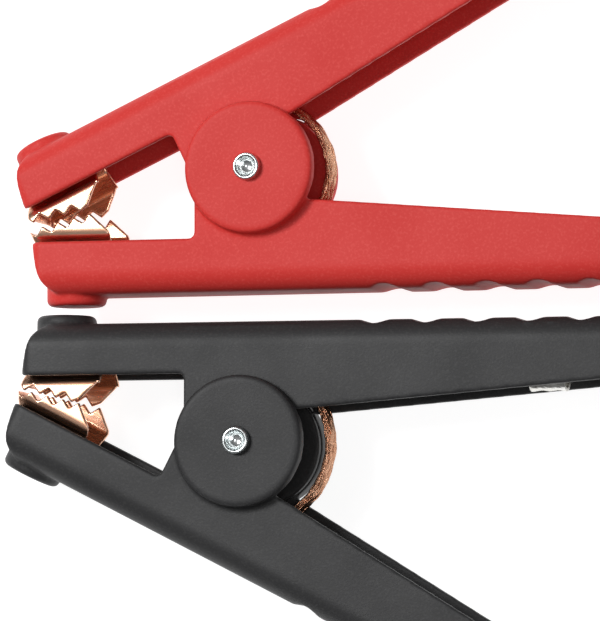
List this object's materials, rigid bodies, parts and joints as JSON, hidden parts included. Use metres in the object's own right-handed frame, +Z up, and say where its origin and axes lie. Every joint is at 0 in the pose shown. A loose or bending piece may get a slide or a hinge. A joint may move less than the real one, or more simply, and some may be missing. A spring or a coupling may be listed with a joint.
{
  "type": "pair of insulated battery booster clamps",
  "caption": "Pair of spring-loaded insulated battery clamps, red and black, with toothed copper jaws, braided copper straps and hinged channel handles.",
  "frame": {"origin": "under the middle of the pair, on the surface that the pivot discs lie on", "axes": "+Z up along both pivots, +X from the jaws to the handles' ends, +Y from the black clamp to the red one"},
  "size_m": [0.2032, 0.2486, 0.0391],
  "materials": {
    "red_plastic": "finely textured moulding",
    "black_plastic": "finely textured moulding",
    "copper_sheet": "bright rolled copper sheet",
    "copper_braid": "braid of fine copper wires",
    "bright_steel": "bright zinc plate",
    "spring_steel": "oiled spring wire"
  },
  "bodies": {
    "red_lower": {"red_lower_handle": "red_plastic", "red_pivot_rivet": "bright_steel", "red_pivot_bush": "spring_steel", "red_torsion_spring": "spring_steel", "red_lower_jaw": "copper_sheet", "red_lower_jaw_rivet": "bright_steel", "red_braid_strap": "copper_braid"},
    "red_upper": {"red_upper_handle": "red_plastic", "red_upper_jaw": "copper_sheet", "red_upper_jaw_rivet": "bright_steel", "red_cable_crimp": "bright_steel"},
    "black_lower": {"black_lower_handle": "black_plastic", "black_pivot_rivet": "bright_steel", "black_pivot_bush": "spring_steel", "black_torsion_spring": "spring_steel", "black_lower_jaw": "copper_sheet", "black_lower_jaw_rivet": "bright_steel", "black_braid_strap": "copper_braid"},
    "black_upper": {"black_upper_handle": "black_plastic", "black_upper_jaw": "copper_sheet", "black_upper_jaw_rivet": "bright_steel", "black_cable_crimp": "bright_steel"}
  },
  "joints": [
    {"name": "red_squeeze", "type": "hinge", "parent": "red_lower", "child": "red_upper", "pos_m": [-0.02338, 0.04106, 0.0185], "axis": [0, 0, -1], "range_deg": [0, 36], "stiffness_Nm_per_rad": 3, "springref_deg": -45.84, "deforming": ["red_torsion_spring", "red_braid_strap"]},
    {"name": "black_apart", "type": "slide", "parent": "red_lower", "child": "black_upper", "axis": [0, -1, 0], "range_m": [0, 0.1]},
    {"name": "black_squeeze", "type": "hinge", "parent": "black_upper", "child": "black_lower", "pos_m": [-0.02658, -0.03794, 0.0185], "axis": [0, 0, 1], "range_deg": [0, 36], "stiffness_Nm_per_rad": 3, "springref_deg": -45.84, "deforming": ["black_torsion_spring", "black_braid_strap"]}
  ]
}
